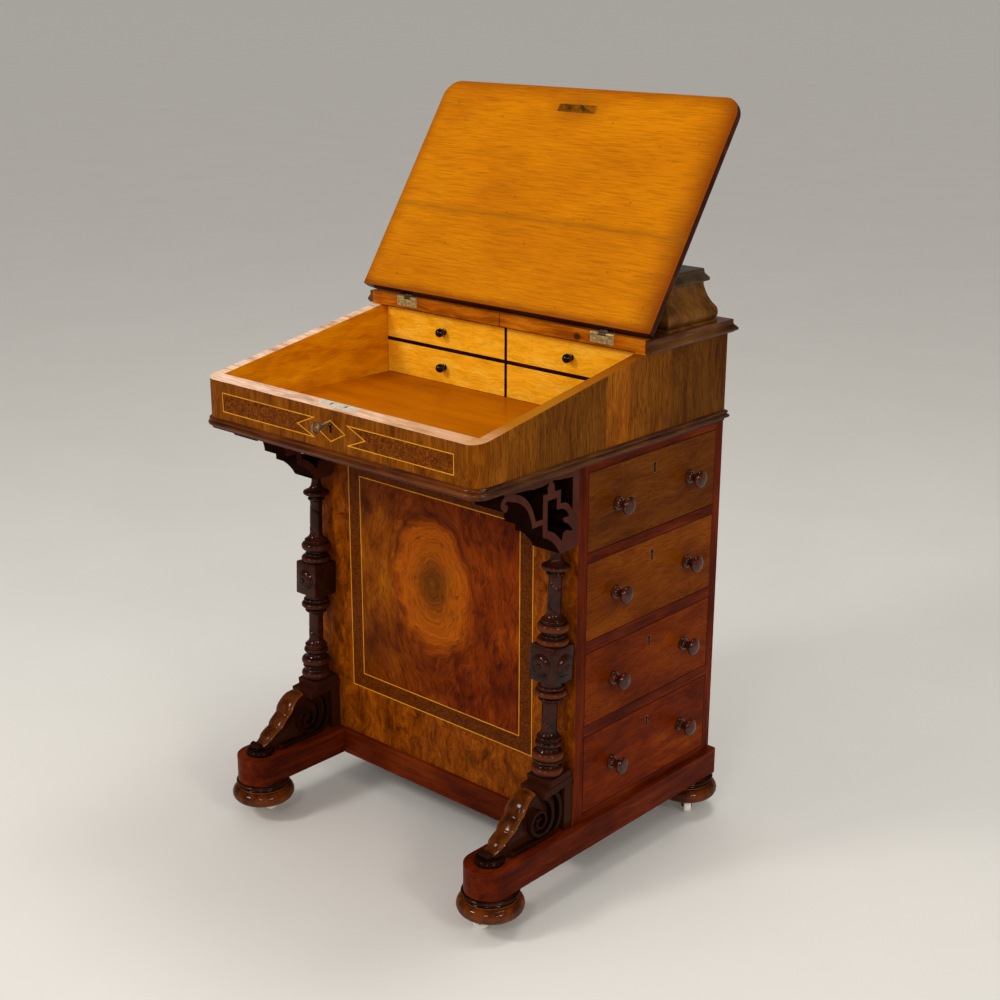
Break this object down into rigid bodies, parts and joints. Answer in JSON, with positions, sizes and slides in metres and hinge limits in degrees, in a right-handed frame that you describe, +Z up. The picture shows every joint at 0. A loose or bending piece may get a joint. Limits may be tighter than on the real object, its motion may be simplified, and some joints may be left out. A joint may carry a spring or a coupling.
{
  "type": "davenport desk",
  "caption": "Small sloped writing desk with a hinged lid over a fitted well, side drawers, a stationery box, turned columns, carved trusses and bun feet on castors.",
  "frame": {"origin": "on the floor, under the middle of the whole footprint", "axes": "+X towards the side with the working drawers, +Y towards the flat back, +Z up"},
  "size_m": [0.5852, 0.5924, 1.0982],
  "materials": {
    "walnut_veneer": "french polish",
    "dark_mahogany": "french polish, dark",
    "orange_mahogany": "satin polish",
    "drawer_lining": "bare, waxed",
    "ebonised_turning": "ebonised, polished",
    "writing_leather": "tooled, worn satin",
    "aged_brass": "aged, satin",
    "key_steel": "worn satin",
    "white_china": "glazed"
  },
  "bodies": {
    "carcass": {"plinths": "dark_mahogany", "bun_feet": "dark_mahogany", "castor_sockets": "aged_brass", "front_panel": "walnut_veneer", "back_panel": "walnut_veneer", "carcass_boards": "drawer_lining", "drawer_rails": "drawer_lining", "left_side_panel": "walnut_veneer", "dummy_drawer_fronts": "walnut_veneer", "dummy_drawer_knobs": "ebonised_turning", "box_walls": "walnut_veneer", "box_front_rail": "walnut_veneer", "well_floor": "orange_mahogany", "lower_moulding": "dark_mahogany", "platform_board": "dark_mahogany", "platform_moulding": "dark_mahogany", "hinge_rail": "orange_mahogany", "small_drawer_case": "orange_mahogany", "hinge_plates": "aged_brass", "lock_case": "aged_brass", "stationery_case": "walnut_veneer", "fret_brackets": "dark_mahogany", "columns": "dark_mahogany", "scroll_trusses": "dark_mahogany"},
    "drawer_1": {"drawer_1_front": "walnut_veneer", "drawer_1_box": "drawer_lining", "drawer_1_fittings": "ebonised_turning"},
    "drawer_2": {"drawer_2_front": "walnut_veneer", "drawer_2_box": "drawer_lining", "drawer_2_fittings": "ebonised_turning"},
    "drawer_3": {"drawer_3_front": "walnut_veneer", "drawer_3_box": "drawer_lining", "drawer_3_fittings": "ebonised_turning"},
    "drawer_4": {"drawer_4_front": "walnut_veneer", "drawer_4_box": "drawer_lining", "drawer_4_fittings": "ebonised_turning"},
    "small_drawer_1": {"small_drawer_1": "orange_mahogany", "small_drawer_1_knob": "ebonised_turning"},
    "small_drawer_2": {"small_drawer_2": "orange_mahogany", "small_drawer_2_knob": "ebonised_turning"},
    "small_drawer_3": {"small_drawer_3": "orange_mahogany", "small_drawer_3_knob": "ebonised_turning"},
    "small_drawer_4": {"small_drawer_4": "orange_mahogany", "small_drawer_4_knob": "ebonised_turning"},
    "lid": {"lid_panel": "orange_mahogany", "lid_skiver": "writing_leather", "lid_brassware": "aged_brass"},
    "stationery_lid": {"stationery_lid": "walnut_veneer", "stationery_lid_leaves": "aged_brass"},
    "key": {"key": "key_steel"},
    "lock_bolt": {"lock_bolt": "aged_brass"},
    "castor_horn_front_right": {"castor_horn_front_right": "aged_brass"},
    "castor_wheel_front_right": {"castor_wheel_front_right": "white_china"},
    "castor_horn_front_left": {"castor_horn_front_left": "aged_brass"},
    "castor_wheel_front_left": {"castor_wheel_front_left": "white_china"},
    "castor_horn_back_right": {"castor_horn_back_right": "aged_brass"},
    "castor_wheel_back_right": {"castor_wheel_back_right": "white_china"},
    "castor_horn_back_left": {"castor_horn_back_left": "aged_brass"},
    "castor_wheel_back_left": {"castor_wheel_back_left": "white_china"}
  },
  "joints": [
    {"name": "drawer_1_slide", "type": "slide", "parent": "carcass", "child": "drawer_1", "axis": [1, 0, 0], "range_m": [0, 0.38]},
    {"name": "drawer_2_slide", "type": "slide", "parent": "carcass", "child": "drawer_2", "axis": [1, 0, 0], "range_m": [0, 0.38]},
    {"name": "drawer_3_slide", "type": "slide", "parent": "carcass", "child": "drawer_3", "axis": [1, 0, 0], "range_m": [0, 0.38]},
    {"name": "drawer_4_slide", "type": "slide", "parent": "carcass", "child": "drawer_4", "axis": [1, 0, 0], "range_m": [0, 0.38]},
    {"name": "small_drawer_1_slide", "type": "slide", "parent": "carcass", "child": "small_drawer_1", "axis": [0, -1, 0], "range_m": [0, 0.11]},
    {"name": "small_drawer_2_slide", "type": "slide", "parent": "carcass", "child": "small_drawer_2", "axis": [0, -1, 0], "range_m": [0, 0.11]},
    {"name": "small_drawer_3_slide", "type": "slide", "parent": "carcass", "child": "small_drawer_3", "axis": [0, -1, 0], "range_m": [0, 0.11]},
    {"name": "small_drawer_4_slide", "type": "slide", "parent": "carcass", "child": "small_drawer_4", "axis": [0, -1, 0], "range_m": [0, 0.11]},
    {"name": "lid_hinge", "type": "hinge", "parent": "carcass", "child": "lid", "pos_m": [0, 0.07475, 0.78551], "axis": [-1, 0, 0], "range_deg": [-133.4, 0]},
    {"name": "stationery_lid_hinge", "type": "hinge", "parent": "carcass", "child": "stationery_lid", "pos_m": [0, 0.24735, 0.84387], "axis": [-1, 0, 0], "range_deg": [0, 100]},
    {"name": "key_turn", "type": "hinge", "parent": "carcass", "child": "key", "pos_m": [0, -0.26305, 0.69], "axis": [0, 1, 0], "range_deg": [0, 180]},
    {"name": "bolt_slide", "type": "slide", "parent": "carcass", "child": "lock_bolt", "axis": [1, 0, 0], "range_m": [0, 0.00705]},
    {"name": "swivel_front_right", "type": "hinge", "parent": "carcass", "child": "castor_horn_front_right", "pos_m": [0.2415, -0.21075, 0.04], "axis": [0, 0, 1], "continuous": true},
    {"name": "wheel_front_right", "type": "hinge", "parent": "castor_horn_front_right", "child": "castor_wheel_front_right", "pos_m": [0.23423, -0.22153, 0.013], "axis": [0.829, -0.5592, 0], "continuous": true},
    {"name": "swivel_front_left", "type": "hinge", "parent": "carcass", "child": "castor_horn_front_left", "pos_m": [-0.2415, -0.21075, 0.04], "axis": [0, 0, 1], "continuous": true},
    {"name": "wheel_front_left", "type": "hinge", "parent": "castor_horn_front_left", "child": "castor_wheel_front_left", "pos_m": [-0.24105, -0.19776, 0.013], "axis": [-0.9994, 0.0349, 0], "continuous": true},
    {"name": "swivel_back_right", "type": "hinge", "parent": "carcass", "child": "castor_horn_back_right", "pos_m": [0.2415, 0.24825, 0.04], "axis": [0, 0, 1], "continuous": true},
    {"name": "wheel_back_right", "type": "hinge", "parent": "castor_horn_back_right", "child": "castor_wheel_back_right", "pos_m": [0.25069, 0.23906, 0.013], "axis": [0.7071, 0.7071, 0], "continuous": true},
    {"name": "swivel_back_left", "type": "hinge", "parent": "carcass", "child": "castor_horn_back_left", "pos_m": [-0.2415, 0.24825, 0.04], "axis": [0, 0, 1], "continuous": true},
    {"name": "wheel_back_left", "type": "hinge", "parent": "castor_horn_back_left", "child": "castor_wheel_back_left", "pos_m": [-0.25372, 0.2438, 0.013], "axis": [0.342, -0.9397, 0], "continuous": true}
  ],
  "couplings": [
    {"joint": "bolt_slide", "follows": "key_turn", "m_per_rad": 0.0022282}
  ]
}
